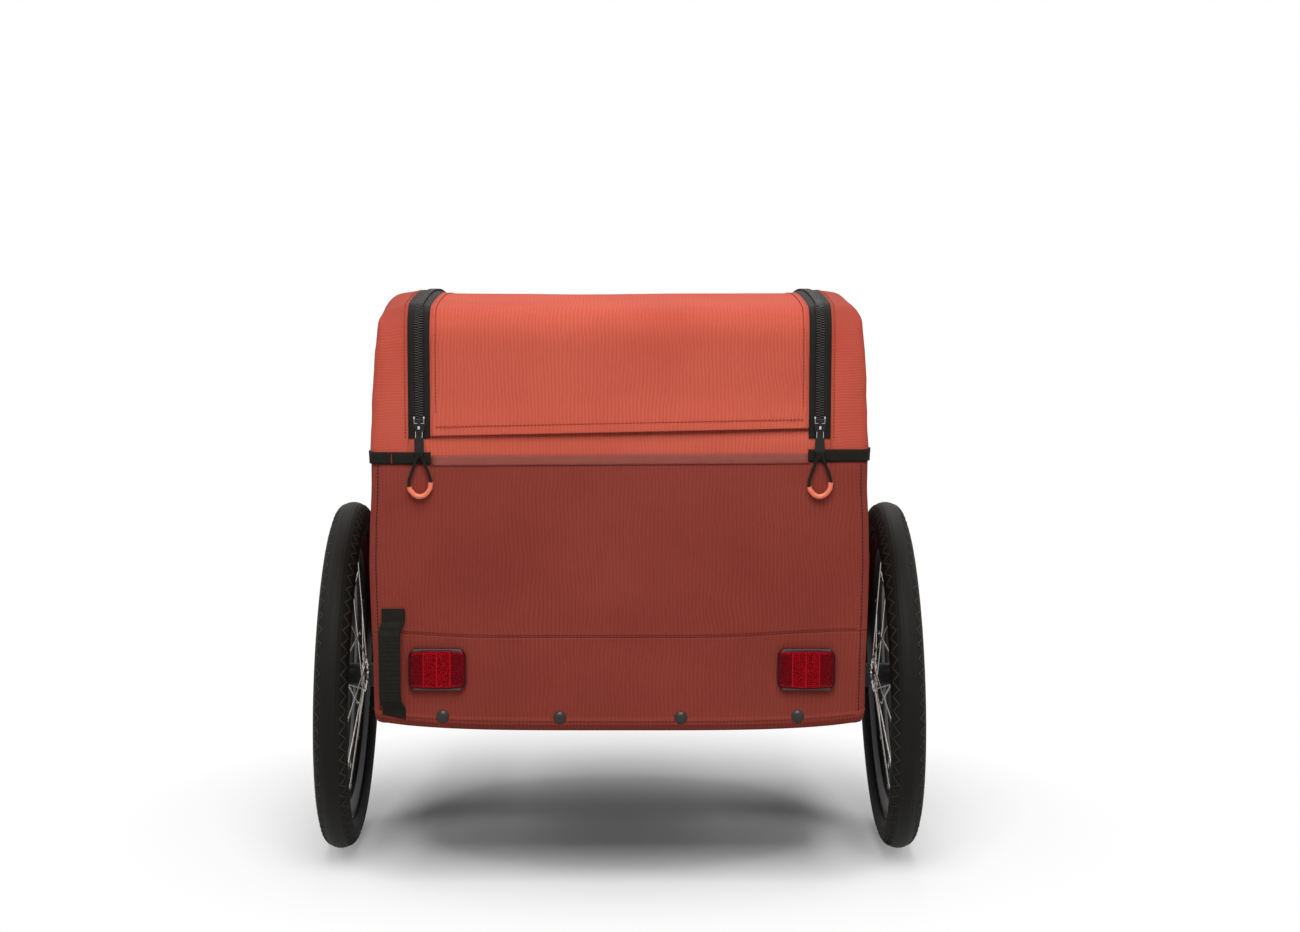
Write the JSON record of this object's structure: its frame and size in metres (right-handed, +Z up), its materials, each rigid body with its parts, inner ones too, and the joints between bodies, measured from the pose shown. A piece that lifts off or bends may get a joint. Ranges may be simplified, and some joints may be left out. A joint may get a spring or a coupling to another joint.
{
  "type": "bicycle cargo trailer",
  "caption": "Boxy cloth cargo trailer on cambered spoked wheels, with a zipped domed roof, a side towing arm and a parking stand.",
  "frame": {"origin": "on the ground, under the centre of the bounding box of the whole trailer with its towing arm", "axes": "+X to the trailer's right, +Y forward to the bicycle, +Z up; the panel with the reflectors faces -Y"},
  "size_m": [0.8672, 1.4158, 0.8093],
  "materials": {
    "hood_cloth": "matt coated ripstop",
    "tub_cloth": "matt coated heavy cloth",
    "piping": "satin reflective braid",
    "webbing": "woven webbing",
    "zip_tape": "coated zip tape and coil",
    "zip_metal": "dark lacquer",
    "pull_grey": "moulded",
    "cord": "braided",
    "pull_sleeve": "soft clear-coated tube",
    "lens": "prismatic red lens",
    "tyre": "moulded tread",
    "rim": "black anodised",
    "steel": "polished stainless",
    "frame_tube": "black powder coat",
    "plastic": "moulded, fine grain",
    "board": "matt sheet",
    "rubber": "matt"
  },
  "bodies": {
    "frame": {"rear_panel": "tub_cloth", "left_side_panel": "tub_cloth", "right_side_panel": "tub_cloth", "front_panel": "tub_cloth", "front_hood": "hood_cloth", "rear_hood_band": "hood_cloth", "left_hood_side": "hood_cloth", "right_hood_side": "hood_cloth", "left_zip_outer_tape": "zip_tape", "right_zip_outer_tape": "zip_tape", "left_side_rail": "frame_tube", "right_side_rail": "frame_tube", "rear_cross_tube": "frame_tube", "front_cross_tube": "frame_tube", "axle_tube": "frame_tube", "floor_panel": "board", "rear_hoop": "frame_tube", "front_hoop": "frame_tube", "left_top_rail": "frame_tube", "right_top_rail": "frame_tube", "left_axle_socket": "plastic", "right_axle_socket": "plastic", "left_axle": "steel", "right_axle": "steel", "reflective_strip": "piping", "left_webbing_tab": "webbing", "right_webbing_tab": "webbing", "flag_sleeve": "webbing", "left_reflector": "lens", "right_reflector": "lens", "arm_receiver": "plastic"},
    "roof": {"roof_panel": "hood_cloth", "left_zip_inner_tape": "zip_tape", "right_zip_inner_tape": "zip_tape"},
    "left_slider": {"left_zip_slider": "zip_metal"},
    "right_slider": {"right_zip_slider": "zip_metal"},
    "left_pull": {"left_zip_puller": "pull_grey", "left_pull_cord": "cord", "left_pull_sleeve": "pull_sleeve"},
    "right_pull": {"right_zip_puller": "pull_grey", "right_pull_cord": "cord", "right_pull_sleeve": "pull_sleeve"},
    "left_wheel": {"left_tyre": "tyre", "left_rim": "rim", "left_hub": "steel", "left_outer_bearing": "steel", "left_inner_bearing": "steel"},
    "right_wheel": {"right_tyre": "tyre", "right_rim": "rim", "right_hub": "steel", "right_outer_bearing": "steel", "right_inner_bearing": "steel"},
    "left_button": {"left_release_button": "plastic"},
    "right_button": {"right_release_button": "plastic"},
    "arm": {"towing_arm": "frame_tube", "stand_bracket": "plastic"},
    "knob": {"arm_knob": "plastic"},
    "coupling": {"coupling_head": "plastic"},
    "stand": {"stand_leg": "steel", "stand_foot": "rubber"}
  },
  "joints": [
    {"name": "left_wheel_spin", "type": "hinge", "parent": "frame", "child": "left_wheel", "pos_m": [-0.39272, -0.40778, 0.24935], "axis": [0.9995, 0, -0.0316], "continuous": true},
    {"name": "right_wheel_spin", "type": "hinge", "parent": "frame", "child": "right_wheel", "pos_m": [0.39272, -0.40778, 0.24935], "axis": [0.9995, 0, 0.0316], "continuous": true},
    {"name": "left_button_press", "type": "slide", "parent": "frame", "child": "left_button", "axis": [0.9995, 0, -0.0316], "range_m": [0, 0.004], "stiffness_N_per_m": 300},
    {"name": "right_button_press", "type": "slide", "parent": "frame", "child": "right_button", "axis": [-0.9995, 0, -0.0316], "range_m": [0, 0.004], "stiffness_N_per_m": 300},
    {"name": "roof_lift", "type": "hinge", "parent": "frame", "child": "roof", "pos_m": [0, -0.00778, 0.7494], "axis": [-1, 0, 0], "range_deg": [0, 100]},
    {"name": "left_slider_run", "type": "slide", "parent": "roof", "child": "left_slider", "axis": [0, 0, 1], "range_m": [0, 0.11]},
    {"name": "right_slider_run", "type": "slide", "parent": "roof", "child": "right_slider", "axis": [0, 0, 1], "range_m": [0, 0.11]},
    {"name": "left_pull_swing", "type": "hinge", "parent": "left_slider", "child": "left_pull", "pos_m": [-0.2635, -0.69859, 0.641], "axis": [-1, 0, 0], "range_deg": [0, 160]},
    {"name": "right_pull_swing", "type": "hinge", "parent": "right_slider", "child": "right_pull", "pos_m": [0.2635, -0.69859, 0.641], "axis": [-1, 0, 0], "range_deg": [0, 160]},
    {"name": "arm_slide", "type": "slide", "parent": "frame", "child": "arm", "axis": [0, 1, 0], "range_m": [0, 0.1]},
    {"name": "knob_turn", "type": "hinge", "parent": "frame", "child": "knob", "pos_m": [-0.2, 0.03722, 0.2297], "axis": [1, 0, 0], "continuous": true},
    {"name": "coupling_swivel", "type": "hinge", "parent": "arm", "child": "coupling", "pos_m": [-0.085, 0.64422, 0.33], "axis": [0, 0, 1], "range_deg": [-45, 45]},
    {"name": "stand_fold", "type": "hinge", "parent": "arm", "child": "stand", "pos_m": [-0.2, 0.33022, 0.1997], "axis": [1, 0, 0], "range_deg": [-90, 0]}
  ]
}
